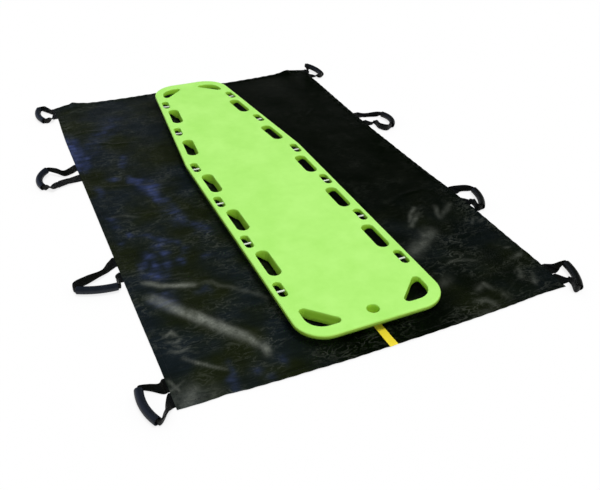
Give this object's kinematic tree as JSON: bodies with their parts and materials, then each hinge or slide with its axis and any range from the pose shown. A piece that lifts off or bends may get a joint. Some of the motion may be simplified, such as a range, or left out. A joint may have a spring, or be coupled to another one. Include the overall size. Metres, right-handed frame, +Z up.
{
  "type": "soft stretcher",
  "caption": "Rectangular coated carrying sheet with webbing loop handles in hose grips along both sides, its wings folding up, and a slotted spine board lying on it.",
  "frame": {"origin": "underside of the sheet, at the middle of the sheet", "axes": "+Y along the sheet from its head end to its foot end, +X to the right, +Z up"},
  "size_m": [1.4797, 1.9553, 0.048],
  "materials": {
    "coated_sheet": "glossy black coated fabric",
    "yellow_tape": "smooth yellow tape",
    "webbing": "woven black webbing",
    "hose": "satin black hose",
    "polyethylene": "satin moulded lime-green plastic",
    "pin_white": "smooth white",
    "foam": "open foam"
  },
  "bodies": {
    "centre": {"sheet_centre": "coated_sheet", "centre_stripe": "yellow_tape"},
    "left_wing": {"sheet_wing_left": "coated_sheet", "tail_near_left_head": "webbing", "tail_near_left_foot": "webbing", "tail_lower_left_head": "webbing", "tail_lower_left_foot": "webbing", "tail_upper_left_head": "webbing", "tail_upper_left_foot": "webbing", "tail_far_left_head": "webbing", "tail_far_left_foot": "webbing"},
    "right_wing": {"sheet_wing_right": "coated_sheet", "tail_near_right_head": "webbing", "tail_near_right_foot": "webbing", "tail_lower_right_head": "webbing", "tail_lower_right_foot": "webbing", "tail_upper_right_head": "webbing", "tail_upper_right_foot": "webbing", "tail_far_right_head": "webbing", "tail_far_right_foot": "webbing"},
    "handle_near_left": {"strap_near_left": "webbing", "grip_near_left": "hose"},
    "handle_lower_left": {"strap_lower_left": "webbing", "grip_lower_left": "hose"},
    "handle_upper_left": {"strap_upper_left": "webbing", "grip_upper_left": "hose"},
    "handle_far_left": {"strap_far_left": "webbing", "grip_far_left": "hose"},
    "handle_near_right": {"strap_near_right": "webbing", "grip_near_right": "hose"},
    "handle_lower_right": {"strap_lower_right": "webbing", "grip_lower_right": "hose"},
    "handle_upper_right": {"strap_upper_right": "webbing", "grip_upper_right": "hose"},
    "handle_far_right": {"strap_far_right": "webbing", "grip_far_right": "hose"},
    "board": {"board_shell": "polyethylene", "board_foam_core": "foam", "board_foam_plug": "polyethylene", "pin_left_1": "pin_white", "pin_left_2": "pin_white", "pin_left_3": "pin_white", "pin_left_4": "pin_white", "pin_left_5": "pin_white", "pin_left_6": "pin_white", "pin_right_1": "pin_white", "pin_right_2": "pin_white", "pin_right_3": "pin_white", "pin_right_4": "pin_white", "pin_right_5": "pin_white", "pin_right_6": "pin_white"}
  },
  "joints": [
    {"name": "fold_left", "type": "hinge", "parent": "centre", "child": "left_wing", "pos_m": [-0.345, 0, 0.0012], "axis": [0, 1, 0], "range_deg": [0, 90]},
    {"name": "fold_right", "type": "hinge", "parent": "centre", "child": "right_wing", "pos_m": [0.345, 0, 0.0012], "axis": [0, -1, 0], "range_deg": [0, 90]},
    {"name": "hinge_near_left", "type": "hinge", "parent": "left_wing", "child": "handle_near_left", "pos_m": [-0.6093, -0.8915, 0.0033], "axis": [0, 1, 0], "range_deg": [0, 135]},
    {"name": "hinge_lower_left", "type": "hinge", "parent": "left_wing", "child": "handle_lower_left", "pos_m": [-0.6093, -0.335, 0.0033], "axis": [0, 1, 0], "range_deg": [0, 110]},
    {"name": "hinge_upper_left", "type": "hinge", "parent": "left_wing", "child": "handle_upper_left", "pos_m": [-0.6093, 0.325, 0.0033], "axis": [0, 1, 0], "range_deg": [0, 140]},
    {"name": "hinge_far_left", "type": "hinge", "parent": "left_wing", "child": "handle_far_left", "pos_m": [-0.6093, 0.8915, 0.0033], "axis": [0, 1, 0], "range_deg": [0, 130]},
    {"name": "hinge_near_right", "type": "hinge", "parent": "right_wing", "child": "handle_near_right", "pos_m": [0.6093, -0.8915, 0.0033], "axis": [0, -1, 0], "range_deg": [0, 110]},
    {"name": "hinge_lower_right", "type": "hinge", "parent": "right_wing", "child": "handle_lower_right", "pos_m": [0.6093, -0.385, 0.0033], "axis": [0, -1, 0], "range_deg": [0, 85]},
    {"name": "hinge_upper_right", "type": "hinge", "parent": "right_wing", "child": "handle_upper_right", "pos_m": [0.6093, 0.325, 0.0033], "axis": [0, -1, 0], "range_deg": [0, 105]},
    {"name": "hinge_far_right", "type": "hinge", "parent": "right_wing", "child": "handle_far_right", "pos_m": [0.6093, 0.8915, 0.0033], "axis": [0, -1, 0], "range_deg": [0, 90]},
    {"name": "board_lift", "type": "slide", "parent": "centre", "child": "board", "axis": [0, 0, 1], "range_m": [0, 0.4]}
  ]
}
